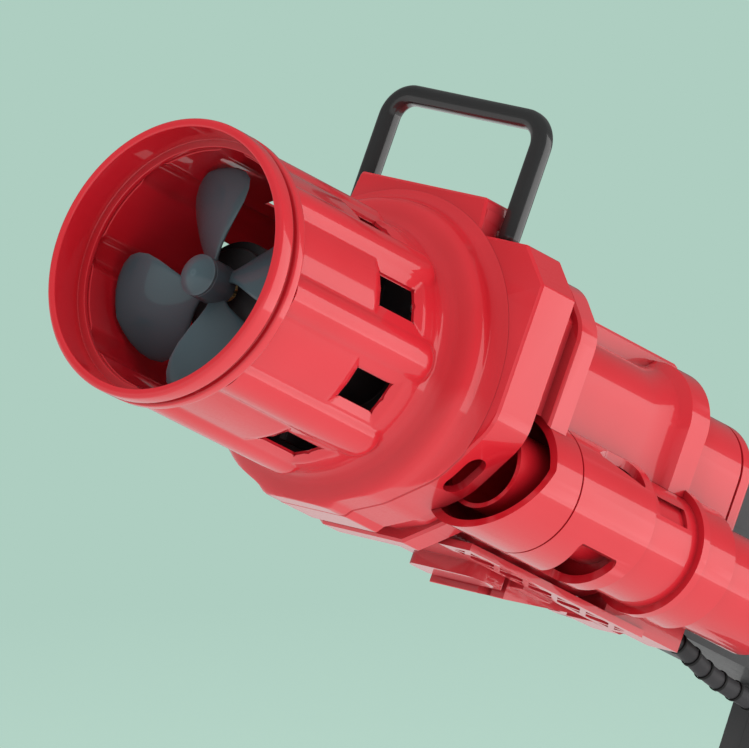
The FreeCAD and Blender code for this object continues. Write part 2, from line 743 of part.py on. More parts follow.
house_outline = [(cap_y1 + gap, 18.0, 3.0), (250.0, 18.0, 4.0), (262.0, 22.0, 6.0),
                 (318.0, 22.0, 6.0), (332.0, 13.0, 6.0), (352.0, 13.0, 9.0),
                 (361.0, -6.0, 9.0), (361.0, -38.0, 9.0), (317.0, -38.0, 3.0),
                 (311.0, -31.5, 3.0), (236.0, -31.5, 3.0), (226.0, -24.0, 3.0),
                 (cap_y1 + gap, -24.0, 2.0)]
guard_outline = [(299.0, -30.0, 0.0), (301.0, -80.0, 10.0), (338.0, -88.0, 4.0),
                 (336.0, -30.0, 0.0)]
guard_hole = [(304.5, -38.5, 3.0), (306.0, -73.0, 7.0), (331.5, -79.0, 5.0),
              (324.0, -38.5, 3.0)]


def grip_block(inset):
    """Upright grip body; the grip leans afterwards."""
    y0, y1 = grip_y
    y0 = y0 + inset
    y1 = y1 - inset
    half = grip_half - inset
    top = -30.0
    side = [(half, y0, 9.0 - inset), (half, y1, 9.0 - inset), (-half, y1, 9.0 - inset),
            (-half, y0, 9.0 - inset)]
    return prism_z(side, grip_bottom, top)


def door_room():
    """Space under the grip for the door's plate and, at the rear, its knuckle."""
    y0, y1 = grip_y
    low = grip_bottom - 1
    plate = box(-30, 30, y0 - 5, y1 - 4.8, low, grip_bottom + 4.0)
    rear = box(-30, 30, y1 - 5, y1 + 5, low, grip_bottom + 2.2)
    knuckle = box(-8.2, 8.2, y1 - 5, y1 + 5, low, grip_bottom + 4.8)
    return fuse(plate, rear, knuckle)


def door_lug():
    """Solid corner that holds one end of the door's hinge pin."""
    y1 = grip_y[1]
    z = grip_bottom + 2.2
    barrel = cyl_x(2.2, 8.2, 12.5, y1 - 2.4, z)
    web = box(8.2, 12.5, y1 - 4.6, y1 - 1.3, z, grip_bottom + 9.0)
    return lean(fuse(barrel, web))


def house_shape():
    house = prism_x(house_outline, -house_half, house_half)
    edges = [e for e in house.Edges
             if e.BoundBox.XLength < 0.01 and e.BoundBox.Center.y > cap_y1 + 2]
    house = house.makeChamfer(2.5, edges)
    side_step = box(house_low_half, 40, 200, 380, -60, house_step_z)
    house = house.cut(Part.makeCompound(both(side_step)))
    guard = prism_x(guard_outline, -7.0, 7.0)
    grip = lean(grip_block(0))
    solid = fuse(house, guard, grip)
    inner = [(cap_y1 + gap + wall, 15.6, 2.0), (251.0, 15.6, 2.0), (263.0, 19.6, 4.0),
             (317.0, 19.6, 4.0), (331.0, 10.6, 4.0), (350.5, 10.6, 6.5), (358.6, -6.5, 6.5),
             (358.6, -35.6, 6.5), (318.0, -35.6, 2.0), (312.0, -29.1, 2.0),
             (237.0, -29.1, 2.0), (227.0, -21.6, 2.0), (cap_y1 + gap + wall, -21.6, 1.0)]
    hollow = prism_x(inner, -house_half + wall, house_half - wall)
    shelf = box(house_low_half - wall, 40, 200, 380, -60, house_step_z + wall)
    hollow = hollow.cut(Part.makeCompound(both(shelf)))
    cell_room = lean(grip_block(wall).cut(box(-30, 30, 200, 400, -50.0, 0)))
    finger = prism_x(guard_hole, -20, 20)
    slot = box(-4.6, 4.6, trigger_y[0] - 6.5, trigger_y[1] + 4.6, -42, -28.4)
    wire_hole = cyl_y(6.0, cap_y1 - 1, cap_y1 + 4)
    cuts = [hollow, cell_room, finger, slot, wire_hole, lean(door_room())]
    return solid.cut(Part.makeCompound(cuts + tube_space(gap)))


def grip_posts():
    return [(228.0, 8.0), (276.0, 12.0), (346.0, 4.0), (250.0, -20.0)]


def grip_ribs():
    """Raised grip pads' grooves on both sides of the grip."""
    grooves = []
    for k in range(7):
        z = -56.0 - 7.5 * k
        grooves.append(box(grip_half - 0.8, grip_half + 1, grip_y[0] + 9, grip_y[1] - 9,
                           z - 1.2, z + 1.2))
    return [lean(g) for g in grooves]


def grip_half_shell(sign):
    keep = box(gap / 2, 80, 190, 400, -150, 60)
    if sign < 0:
        keep = flip(keep)
    half = house_shape().common(keep)
    posts = []
    for y, z in grip_posts():
        reach = house_half if z > house_step_z + 4 else house_low_half
        post = cyl_x(3.4, gap / 2, reach - 1, y, z)
        posts.append(post if sign > 0 else flip(post))
    reach = house_low_half - 1
    y0 = stop_y
    stop = box(gap / 2, reach, y0, y0 + 2, -30.0, -12.0)
    floor = box(gap / 2, reach, y0, y0 + 14.7, -30.0, -28.0)
    inner_parts = [fuse(stop, floor), door_lug()]
    half = fuse(half, *(posts + [p if sign > 0 else flip(p) for p in inner_parts]))
    ribs = grip_ribs()
    plunger_slot = box(-2.3, 2.3, y0 - 0.3, y0 + 2.2, -20.8, -16.2)
    cuts = ribs + [flip(r) for r in ribs] + grip_screws_list(gap) + [door_pin(run), plunger_slot]
    cuts = cuts + [flip(hose_sockets()[1]), hose_sockets()[1]]
    return half.cut(Part.makeCompound(cuts))


def grip_screws_list(grow=0.0):
    screws = []
    for y, z in grip_posts():
        head = -house_half if z > house_step_z + 4 else -house_low_half
        screws.append(screw_x(head, 12.0, y, z, grow))
    return screws


def door_pin(grow=0.0):
    """Steel hinge pin across the rear bottom edge of the grip."""
    z = grip_bottom + 2.2
    return lean(cyl_x(1.2 + grow, -11.0 - grow, 11.0 + grow, grip_y[1] - 2.4, z))


def battery_door():
    """Door that closes the bottom of the grip, with a knuckle on the pin."""
    y0, y1 = grip_y
    z0 = grip_bottom
    half = grip_half
    side = [(half, y0, 9.0), (half, y1, 9.0), (-half, y1, 9.0), (-half, y0, 9.0)]
    plate = prism_z(side, z0, z0 + 3.8)
    rear_cut = box(-30, 30, y1 - 5.0, y1 + 5, z0 - 1, z0 + 6)
    plate = plate.cut(rear_cut)
    knuckle = cyl_x(2.2, -8.0, 8.0, y1 - 2.4, z0 + 2.2)
    arm = box(-8.0, 8.0, y1 - 6.0, y1 - 2.4, z0, z0 + 3.8)
    solid = fuse(plate, knuckle, arm)
    pin_hole = cyl_x(1.2 + run, -30, 30, y1 - 2.4, z0 + 2.2)
    screw_hole = cyl_z(1.5 + gap, z0 - 1, z0 + 8, 0, y0 + 5.0)
    head_hole = cyl_z(2.8 + gap, z0 - 1, z0 + 2.05, 0, y0 + 5.0)
    return lean(solid.cut(Part.makeCompound([pin_hole, screw_hole, head_hole])))


def door_screw():
    z0 = grip_bottom
    head = cyl_z(2.8, z0, z0 + 2.0, 0, grip_y[0] + 5.0)
    shank = cyl_z(1.45, z0 + 1, z0 + 3.6, 0, grip_y[0] + 5.0)
    slot = box(-2.0, 2.0, grip_y[0] + 4.6, grip_y[0] + 5.4, z0 - 1, z0 + 0.8)
    return lean(fuse(head, shank).cut(slot))


def cell_places():
    y0, y1 = grip_y
    middle = (y0 + y1) / 2
    side = cell_r + 0.15
    return [(side, middle + 6.2), (-side, middle + 6.2), (0.0, middle - 7.2)]


def battery_cells():
    bottom = grip_bottom + 10.0
    cells = []
    for x, y in cell_places():
        can = cyl_z(cell_r, bottom, bottom + cell_len - 1.5, x, y)
        nub = cyl_z(2.7, bottom + cell_len - 1.6, bottom + cell_len, x, y)
        cells.append(lean(fuse(can, nub)))
    return Part.makeCompound(cells)


def battery_springs():
    """Bent leaf spring under each cell."""
    z0 = grip_bottom + 4.8 + gap
    z1 = grip_bottom + 10.0 - gap
    leaves = []
    for x, y in cell_places():
        outline = [(y - 3.5, z0), (y + 3.8, z0), (y + 3.8, z0 + 0.6), (y - 0.4, z1),
                   (y - 2.6, z1), (y - 2.6, z1 - 0.4), (y - 0.8, z1 - 0.4),
                   (y + 2.8, z0 + 0.4), (y - 3.5, z0 + 0.4)]
        outline = [(a, b, 0.0) for a, b in outline]
        leaves.append(lean(prism_x(outline, x - 2.0, x + 2.0)))
    return Part.makeCompound(leaves)


def battery_contacts():
    top = grip_bottom + 10.0 + cell_len + gap
    plates = []
    for x, y in cell_places():
        plates.append(lean(box(x - 4, x + 4, y - 4, y + 4, top, top + 0.6)))
    low = grip_bottom + 4.3
    for x, y in cell_places():
        plates.append(lean(box(x - 4, x + 4, y - 4, y + 4, low, low + 0.5)))
    return Part.makeCompound(plates)


# ---- trigger ------------------------------------------------------------

spring_z = -27.0


def trigger():
    """Sliding trigger with a hollow face, a stem and a spring seat."""
    y0, y1 = trigger_y
    blade = [(y0, -40.0, 1.0), (y0 - 1.5, -54.0, 20.0), (y0 + 1.0, -68.0, 2.5),
             (y1, -68.0, 2.5), (y1, -40.0, 1.0)]
    face = prism_x(blade, -5.0, 5.0)
    edges = [e for e in face.Edges if e.BoundBox.XLength < 0.01]
    face = face.makeFillet(1.4, edges)
    stem = box(-4.2, 4.2, y0 + 0.5, y1 - 0.5, -45.0, -22.0)
    arm = box(-2.5, 2.5, y0 + 2, stop_y - 5.5, -20.0, -17.0)
    post = box(-2.5, 2.5, y0 + 2, y1 - 1, -23.0, -17.0)
    return fuse(face, stem, arm, post)


def trigger_spring():
    """Coil between the trigger's stem and the stop rib."""
    y0 = trigger_y[1] - 0.5 + gap
    y1 = stop_y - gap
    wire_r = 0.35
    coil_r = 2.4
    height = y1 - y0 - 2 * wire_r
    path = Part.makeHelix(height / 6.0, height, coil_r)
    circle = Part.Wire([Part.Circle(V(coil_r, 0, 0), V(0, 1, 0), wire_r).toShape()])
    coil = Part.Wire(path).makePipeShell([circle], True, True)
    coil.rotate(V(0, 0, 0), V(1, 0, 0), -90)
    coil.translate(V(0, y0 + wire_r, spring_z))
    return coil


def switch_body():
    """Push switch behind the trigger's arm, open at the front for its plunger."""
    y0 = stop_y + 2.1
    body = box(-5, 5, y0, y0 + 11.6, -26.5, -12.5)
    bore = box(-2.1, 2.1, y0 - 1, y0 + 9.6, -20.6, -16.4)
    legs = [box(2.9, 3.5, y0 + 11.5, y0 + 14.6, -21, -17)]
    legs.append(flip(legs[0]))
    return fuse(body.cut(bore), *legs)


def switch_plunger():
    return box(-2.0, 2.0, stop_y - 5.4, stop_y + 6.7, -20.5, -16.5)


# ---- wires --------------------------------------------------------------

def motor_wires():
    wires = []
    for x in (-1.6, 1.6):
        side = 3.2 if x > 0 else -3.2
        points = [V(x * 2.5, 64.0, 0), V(x, 80.0, 0), V(x, 120.0, 0), V(x, 190.0, 0),
                  V(x, 260.0, 0), V(side, 315.0, -2.0), V(side, stop_y + 16.9, -10.0)]
        curve = Part.BSplineCurve()
        curve.interpolate(points)
        start = curve.tangent(curve.FirstParameter)[0]
        circle = Part.Wire([Part.Circle(points[0], start, 0.8).toShape()])
        wires.append(Part.Wire([curve.toShape()]).makePipeShell([circle], True, False))
    return Part.makeCompound(wires)


# ---- write every piece --------------------------------------------------

os.makedirs("parts", exist_ok=True)

save("rim_ring", rim_ring())
save("fluted_barrel", fluted_barrel())
save("impeller", impeller())
save("hub_cap", hub_cap())
save("motor_shaft", motor_shaft())
save("motor_rotor", motor_rotor())
save("motor_can", motor_can())
save("motor_bush", motor_bush())
save("motor_magnets", motor_magnets())
save("motor_pod", motor_pod())
save("pod_screws", Part.makeCompound(pod_screws()))
save("front_collar", front_collar())
save("collar_frame", collar_frame())
save("collar_screws", Part.makeCompound(collar_screws()))
save("carry_handle", carry_handle())
save("handle_pins", handle_pins())
save("left_shell", body_half(1))
save("right_shell", body_half(-1))
save("shell_screws", Part.makeCompound(shell_screws_list()))
save("top_rail", top_rail())
save("rear_cap", rear_cap())
save("bottle_tube_front", tube_front())
save("bottle_tube_rear", tube_rear())
save("belly_plate", belly_plate())
save("belly_truss", belly_truss())
save("cable_hose", cable_hose())
save("hose_rings", hose_rings())
save("hose_socket_front", hose_sockets()[0])
save("hose_socket_rear", hose_sockets()[1])
save("grip_left", grip_half_shell(1))
save("grip_right", grip_half_shell(-1))
save("grip_screws", Part.makeCompound(grip_screws_list()))
save("battery_door", battery_door())
save("door_pin", door_pin())
save("door_screw", door_screw())
save("battery_cells", battery_cells())
save("battery_springs", battery_springs())
save("battery_contacts", battery_contacts())
save("trigger", trigger())
save("trigger_spring", trigger_spring())
save("switch_body", switch_body())
save("switch_plunger", switch_plunger())
save("motor_wires", motor_wires())
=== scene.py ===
import json
import math

import bpy
from mathutils import Matrix, Vector


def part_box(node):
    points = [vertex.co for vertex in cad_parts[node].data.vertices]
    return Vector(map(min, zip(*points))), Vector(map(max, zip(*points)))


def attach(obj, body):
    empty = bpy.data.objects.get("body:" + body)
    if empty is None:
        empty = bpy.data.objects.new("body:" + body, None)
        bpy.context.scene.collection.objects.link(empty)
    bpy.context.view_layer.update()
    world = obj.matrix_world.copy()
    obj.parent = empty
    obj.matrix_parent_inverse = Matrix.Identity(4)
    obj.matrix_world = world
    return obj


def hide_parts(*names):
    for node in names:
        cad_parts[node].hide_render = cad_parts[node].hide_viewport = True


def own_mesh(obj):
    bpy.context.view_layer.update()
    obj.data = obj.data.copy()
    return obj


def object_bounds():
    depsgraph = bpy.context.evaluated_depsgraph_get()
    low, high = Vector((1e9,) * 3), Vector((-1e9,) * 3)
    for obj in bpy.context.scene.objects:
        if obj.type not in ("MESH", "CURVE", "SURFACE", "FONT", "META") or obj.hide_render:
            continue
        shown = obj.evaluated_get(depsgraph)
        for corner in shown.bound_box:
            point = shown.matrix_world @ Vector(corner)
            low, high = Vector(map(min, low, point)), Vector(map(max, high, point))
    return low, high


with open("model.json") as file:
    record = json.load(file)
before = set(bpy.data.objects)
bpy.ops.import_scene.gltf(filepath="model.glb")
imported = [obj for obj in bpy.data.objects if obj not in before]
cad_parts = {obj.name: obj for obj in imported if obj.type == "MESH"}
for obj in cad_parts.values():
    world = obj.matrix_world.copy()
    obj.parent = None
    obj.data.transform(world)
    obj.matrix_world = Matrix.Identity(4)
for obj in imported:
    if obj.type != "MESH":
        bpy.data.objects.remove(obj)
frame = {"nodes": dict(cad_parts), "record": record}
cad_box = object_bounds()
record = frame["record"]
slots = {part["node"]: part["material_slot"] for part in record["subparts"]}
mounts = {mount["name"]: mount for mount in record["mounts"]}

MM = 0.001                      # pieces are built in millimetres, and all else is in metres
TURN = 2 * math.pi


def box_mm(name):
    """Lowest and highest corner of a CAD node, in millimetres."""
    low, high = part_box(name)
    return low / MM, high / MM


# ---- shader nodes --------------------------------------------------------

def new_material(name):
    mat = bpy.data.materials.new(name)
    mat.use_nodes = True
    return mat, mat.node_tree, mat.node_tree.nodes["Principled BSDF"]


def node(tree, kind, props=None, values=None, wires=None):
    made = tree.nodes.new("ShaderNode" + kind)
    for key, value in (props or {}).items():
        setattr(made, key, value)
    for key, value in (values or {}).items():
        made.inputs[key].default_value = value
    for key, socket in (wires or {}).items():
        tree.links.new(socket, made.inputs[key])
    return made


def fill(tree, made, items):
    """Puts a number or colour in each numbered input, or wires a socket to it."""
    for index, item in items:
        if isinstance(item, (tuple, float, int)):
            made.inputs[index].default_value = item
        else:
            tree.links.new(item, made.inputs[index])


def object_place(tree, stretch=(1, 1, 1)):
    spot = node(tree, "TexCoord").outputs["Object"]
    return node(tree, "Mapping", values={"Scale": stretch}, wires={"Vector": spot}).outputs[0]


def noise(tree, place, scale, detail=3.0, rough=0.5):
    values = {"Scale": scale, "Detail": detail, "Roughness": rough}
    return node(tree, "TexNoise", values=values, wires={"Vector": place}).outputs["Fac"]


def remap(tree, socket, from_low, from_high, to_low, to_high):
    values = {"From Min": from_low, "From Max": from_high, "To Min": to_low, "To Max": to_high}
    return node(tree, "MapRange", values=values, wires={"Value": socket}).outputs[0]


def mix_colour(tree, factor, first, second):
    made = node(tree, "Mix", props={"data_type": "RGBA"})
    fill(tree, made, [(0, factor), (6, first), (7, second)])
    return made.outputs[2]


def math_node(tree, operation, first, second):
    made = node(tree, "Math", props={"operation": operation})
    fill(tree, made, [(0, first), (1, second)])
    return made.outputs[0]


def dot_product(tree, direction, spot):
    return node(tree, "VectorMath", props={"operation": "DOT_PRODUCT"},
                values={1: direction}, wires={0: spot}).outputs["Value"]


def add_bump(tree, shader, height, strength, distance):
    values = {"Strength": strength, "Distance": distance}
    made = node(tree, "Bump", values=values, wires={"Height": height})
    tree.links.new(made.outputs[0], shader.inputs["Normal"])


# ---- materials -----------------------------------------------------------

def plastic(name, base, pale, dark, rough, coat, grain, bump, edge_highlight_strength=0.25):
    """Moulded plastic: cloudy colour, painted highlight on sharp edges, painted shade in nooks,
    grain and scratches.
    """
    mat, tree, shader = new_material(name)
    place = object_place(tree)
    cloud = noise(tree, place, 28.0)
    grit = noise(tree, place, grain, 4.0, 0.6)
    scratch = noise(tree, object_place(tree, (900, 60, 900)), 1.0, 2.0)
    colour = mix_colour(tree, remap(tree, cloud, 0.35, 0.65, 0, 1), (*base, 1), (*dark, 1))
    # painted highlight: sharp convex edges, found by pointiness, are tinted towards the pale
    # colour
    edge = node(tree, "NewGeometry").outputs["Pointiness"]
    edge_highlight = remap(tree, edge, 0.52, 0.62, 0, edge_highlight_strength)
    colour = mix_colour(tree, edge_highlight, colour, (*pale, 1))
    # painted shade: the colour darkens towards a dark tint of the base where ambient occlusion
    # finds surfaces close by
    nook = node(tree, "AmbientOcclusion", props={"samples": 6},
                values={"Distance": 0.016}).outputs["AO"]
    shade = mix_colour(tree, remap(tree, nook, 0.25, 0.95, 0.55, 0), colour,
                       tuple(v * 0.12 for v in base) + (1,))
    tree.links.new(shade, shader.inputs["Base Color"])
    spread = math_node(tree, "ADD", remap(tree, grit, 0.3, 0.7, rough - 0.04, rough + 0.05),
                       remap(tree, scratch, 0.62, 0.75, 0, 0.10))
    tree.links.new(spread, shader.inputs["Roughness"])
    shader.inputs["Coat Weight"].default_value = coat
    shader.inputs["Coat Roughness"].default_value = 0.035
    shader.inputs["Specular IOR Level"].default_value = 0.3
    add_bump(tree, shader, grit, bump, 0.0002)
    return mat


def metal(name, base, dark, rough, stretch):
    """Bare metal: drawn or turned streaks, spots of tarnish and a fine bump."""
    mat, tree, shader = new_material(name)
    streak = noise(tree, object_place(tree, stretch), 1.0, 4.0)
    spots = noise(tree, object_place(tree), 240.0)
    colour = mix_colour(tree, remap(tree, spots, 0.45, 0.7, 0, 0.6), (*base, 1), (*dark, 1))
    tree.links.new(colour, shader.inputs["Base Color"])
    tree.links.new(remap(tree, streak, 0.3, 0.7, rough - 0.1, rough + 0.12),
                   shader.inputs["Roughness"])
    shader.inputs["Metallic"].default_value = 1.0
    add_bump(tree, shader, streak, 0.25, 0.00005)
    return mat


def split_colours(name, axis, cut, first, second, band, rough):
    """Two colours that meet at a plane, with a narrow band beside it."""
    mat, tree, shader = new_material(name)
    spot = object_place(tree)
    along = dot_product(tree, axis, spot)
    over = math_node(tree, "GREATER_THAN", along, cut)
    near = math_node(tree, "COMPARE", along, cut - 0.002)
    near.node.inputs[2].default_value = 0.0006
    colour = mix_colour(tree, over, (*first, 1), (*second, 1))
    colour = mix_colour(tree, near, colour, (*band, 1))
    grit = noise(tree, spot, 900.0)
    shade = mix_colour(tree, remap(tree, grit, 0.4, 0.7, 0, 0.25), colour, (0.02, 0.02, 0.02, 1))
    tree.links.new(shade, shader.inputs["Base Color"])
    tree.links.new(remap(tree, grit, 0.3, 0.7, rough - 0.05, rough + 0.08),
                   shader.inputs["Roughness"])
    add_bump(tree, shader, grit, 0.15, 0.0001)
    return mat


grip_lean = math.radians(12)
cell_axis = (0.0, -math.sin(grip_lean), math.cos(grip_lean))
cells_low, cells_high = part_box("battery_cells")
cells_top = Vector((0, cells_low.y, cells_high.z)).dot(Vector(cell_axis))
silver_end = 0.016              # length of silver at the upper end of each row of cells

materials = {
    "red_plastic": plastic("red_plastic", (0.73, 0.014, 0.028), (0.86, 0.12, 0.14),
                           (0.69, 0.011, 0.022), 0.36, 1.0, 1300.0, 0.02, 0.3),
    # teal of the fan's own plastic, made lighter as a painted sheen that stands in for the pale
    # veil over the fan inside the muzzle
    "fan_plastic": plastic("fan_plastic", (0.065, 0.105, 0.125), (0.18, 0.25, 0.28),
                           (0.052, 0.088, 0.106), 0.34, 0.6, 1200.0, 0.04),
    "handle_plastic": plastic("handle_plastic", (0.020, 0.020, 0.021), (0.10, 0.10, 0.10),
                              (0.015, 0.015, 0.016), 0.36, 1.0, 1400.0, 0.05),
    "grip_plastic": plastic("grip_plastic", (0.050, 0.050, 0.053), (0.13, 0.13, 0.13),
                            (0.040, 0.040, 0.043), 0.46, 0.1, 1700.0, 0.25),
    "black_plastic": plastic("black_plastic", (0.018, 0.018, 0.02), (0.09, 0.09, 0.09),
                             (0.012, 0.012, 0.014), 0.38, 0.2, 1600.0, 0.15),
    "hose_rubber": plastic("hose_rubber", (0.040, 0.037, 0.041), (0.09, 0.09, 0.09),
                           (0.028, 0.027, 0.029), 0.55, 0.05, 2200.0, 0.3),
    "ring_rubber": plastic("ring_rubber", (0.006, 0.006, 0.006), (0.03, 0.03, 0.03),
                           (0.004, 0.004, 0.004), 0.6, 0.0, 2500.0, 0.3),
    "steel": metal("steel", (0.62, 0.62, 0.60), (0.42, 0.41, 0.40), 0.28, (2500, 180, 2500)),
    "brass": metal("brass", (0.72, 0.50, 0.22), (0.50, 0.33, 0.13), 0.30, (2500, 180, 2500)),
    "magnet": metal("magnet", (0.10, 0.10, 0.105), (0.05, 0.05, 0.05), 0.55, (800, 800, 800)),
    "cell_label": split_colours("cell_label", cell_axis, cells_top - silver_end,
                                (0.03, 0.10, 0.06), (0.45, 0.46, 0.44), (0.55, 0.5, 0.2), 0.35),
    "wire_cover": split_colours("wire_cover", (1.0, 0.0, 0.0), 0.0,
                                (0.02, 0.02, 0.02), (0.45, 0.02, 0.02), (0.02, 0.02, 0.02), 0.5),
}


# ---- mesh helpers --------------------------------------------------------

def mesh_object(name, verts, faces, sharp=35.0, bevel_width=0.0):
    """Smooth-shaded object in metres, with creases above the sharp angle."""
    mesh = bpy.data.meshes.new(name)
    mesh.from_pydata([Vector(v) * MM for v in verts], [], faces)
    mesh.validate()
    for polygon in mesh.polygons:
        polygon.use_smooth = True
    mesh.set_sharp_from_angle(angle=math.radians(sharp))
    obj = bpy.data.objects.new(name, mesh)
    bpy.context.scene.collection.objects.link(obj)
    if bevel_width:
        bevel = obj.modifiers.new("edges", "BEVEL")
        bevel.width = bevel_width * MM
        bevel.segments = 2
        bevel.limit_method = "ANGLE"
        bevel.angle_limit = math.radians(sharp)
        bevel.harden_normals = True
    return obj


def finish_piece(obj, slot_name, body, replaced):
    """Gives a new piece its material and slot, puts it on its body, hides what it replaces."""
    obj.data.materials.append(materials[slot_name])
    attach(obj, body)
    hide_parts(replaced)


def skin(rings, loop=False):
    """Points and faces through rings of equal length, which close on themselves or get caps."""
    size = len(rings[0])
    verts = [p for ring in rings for p in ring]
    faces = []
    spans = len(rings) if loop else len(rings) - 1
    for j in range(spans):
        low = j * size
        high = ((j + 1) % len(rings)) * size
        for i in range(size):
            k = (i + 1) % size
            faces.append((low + i, low + k, high + k, high + i))
    if not loop:
        faces.append(tuple(range(size))[::-1])
        faces.append(tuple(range((len(rings) - 1) * size, len(rings) * size)))
    return outward(verts, faces)


def outward(verts, faces):
    """Turns the faces round if the closed mesh is inside out."""
    volume = 0.0
    for face in faces:
        a = Vector(verts[face[0]])
        for i in range(1, len(face) - 1):
            volume += a.dot(Vector(verts[face[i]]).cross(Vector(verts[face[i + 1]])))
    if volume < 0:
        faces = [face[::-1] for face in faces]
    return verts, faces


def rounded_profile(points, steps=4):
    """Closed polyline through (u, v, radius) corners with each corner rounded."""
    out = []
    count = len(points)
    for i in range(count):
        here = Vector(points[i][:2])
        radius = points[i][2]
        before = (Vector(points[i - 1][:2]) - here).normalized()
        after = (Vector(points[(i + 1) % count][:2]) - here).normalized()
        if radius <= 0:
            out.append(here)
            continue
        half = before.angle(after) / 2
        reach = radius / math.tan(half)
        centre = here + (before + after).normalized() * (radius / math.sin(half))
        start = here + before * reach - centre
        turn = start.angle_signed(here + after * reach - centre)
        for k in range(steps + 1):
            spin = Matrix.Rotation(-turn * k / steps, 2)
            out.append(centre + spin @ start)
    return out


def polar(r, angle, y):
    return (r * math.cos(angle), y, r * math.sin(angle))


def lathe(profile, count):
    """Rings round the Y axis from a closed (radius, y) profile."""
    return [[polar(p.x, TURN * k / count, p.y) for p in profile] for k in range(count)]


def span(stops, counts):
    """Values through the stops, with the given number of steps between them."""
    values = []
    for start, end, count in zip(stops, stops[1:], counts):
        values += [start + (end - start) * k / count for k in range(count)]
    return values + [stops[-1]]


# ---- muzzle ring ---------------------------------------------------------

rim_low, rim_high = box_mm("rim_ring")
muzzle_bore_r = mounts["muzzle"]["dims"]["r_mm"]
rear_lip_r = 35.0
rear_lip_y = rim_high.y - 1.6


def muzzle_ring():
    """Ring with a groove round its outside and a lip inside its rear end."""
    y0, y1, r = rim_low.y, rim_high.y, rim_high.x
    groove_r = r - 1.7
    profile = rounded_profile([
        (muzzle_bore_r, y0, 0.5), (r, y0, 1.1), (r, y0 + 5.5, 1.0),
        (groove_r, y0 + 5.7, 0.35), (groove_r, y0 + 7.3, 0.35),
        (r, y0 + 7.5, 0.9), (r - 0.2, y1 - 1.2, 1.2),
        (r - 1.8, y1, 0.4), (rear_lip_r, y1, 0.3), (rear_lip_r, rear_lip_y, 0.3),
        (muzzle_bore_r, rear_lip_y, 0.3)])
    verts, faces = skin(lathe(profile, 200), loop=True)
    piece = mesh_object("muzzle_ring", verts, faces)
    finish_piece(piece, "red_plastic", "housing", "rim_ring")


# ---- fluted barrel -------------------------------------------------------

barrel_low, barrel_high = box_mm("fluted_barrel")
barrel_y0, barrel_y1 = barrel_low.y, barrel_high.y
panel_r = 36.5                  # outside of the tube between its ribs
wall_r = 34.5                   # inside of the tube between its ribs
recess_r = 35.3                 # floor of the frame round each window
rib_centre = 31.5
rib_outer_r = 7.5
rib_inner_r = 5.4
rib_end = barrel_y0 + 59.94
flute_count = 8
sector = TURN / flute_count
half_sector = sector / 2
window_y0 = barrel_y0 + 38.94
window_y1 = barrel_y0 + 54.94
frame_width = 3.0
window_half = math.asin(4.9 / recess_r)
window_soft = math.asin(7.9 / panel_r) - window_half

# the flange's radius at distances ahead of the barrel's rear end
flange = [(14.95, 36.2), (13.35, 36.6), (11.55, 37.6), (10.25, 39.3), (9.45, 41.3), (8.65, 43.2),
          (7.75, 44.4), (6.35, 45.3), (4.95, 45.6), (3.15, 45.9), (1.65, 46.8), (0.65, 48.2),
          (0.0, 49.8)]
flange_start = 17.95
soft_flange = 10.45             # ahead of this the flange blends softly with the ribs
clipped_flange = 10.95          # behind this it is cut to the collar's outline


def collar_outline():
    """Front collar's outline in x and z, raised at its top, where it never cuts the flange."""
    low, high = box_mm("front_collar")
    half = [(high.x, 60.0, 0), (high.x, -10.0, 16.0), (40.0, -27.5, 22.0), (24.5, -37.5, 20.0),
            (14.2, -41.5, 1.0), (12.2, low.z, 1.2)]
    return rounded_profile(half + [(-x, z, r) for x, z, r in reversed(half)], 6)


outline = collar_outline()


def outline_r(angle):
    """Distance from the axis to the collar's outline."""
    ray = Vector((math.cos(angle), math.sin(angle)))
    best = 1e9
    for a, b in zip(outline, outline[1:] + outline[:1]):
        edge = b - a
        det = ray.x * -edge.y + ray.y * edge.x
        if abs(det) < 1e-9:
            continue
        t = (a.x * -edge.y + a.y * edge.x) / det
        u = (ray.x * a.y - ray.y * a.x) / det
        if t > 0 and -1e-6 <= u <= 1 + 1e-6:
            best = min(best, t)
    return best


def blended(a, b, reach):
    """Smooth lower value of two distances."""
    h = max(0.0, min(1.0, 0.5 + 0.5 * (b - a) / reach))
    return b * (1 - h) + a * h - reach * h * (1 - h)


def flange_r(ahead):
    """Flange's radius at a distance ahead of the barrel's rear end, or 0 before it starts."""
    if ahead >= flange[0][0]:
        return 0.0
    for (far, far_r), (near, near_r) in zip(flange, flange[1:]):
        if ahead >= near:
            return far_r + (near_r - far_r) * (far - ahead) / (far - near)
    return flange[-1][1]


def fluted_r(angle, y, base, rib_r, reach):
    """Radius of the fluted tube at one angle and length, found by halving."""
    off = (angle + half_sector) % sector - half_sector
    x0, z0 = math.cos(off), math.sin(off)
    beyond = max(0.0, y - rib_end)
    near, far = base - 4, base + 12
    for _ in range(26):
        r = (near + far) / 2
        rib = math.sqrt((r * x0 - rib_centre) ** 2 + (r * z0) ** 2 + beyond ** 2) - rib_r
        if blended(rib, r - base, reach) < 0:
            near = r
        else:
            far = r
    return near


def from_panel_middle(angle):
    """Angle to the middle of the nearest panel, half way between two ribs."""
    off = (angle + half_sector) % sector - half_sector
    return abs(abs(off) - half_sector)


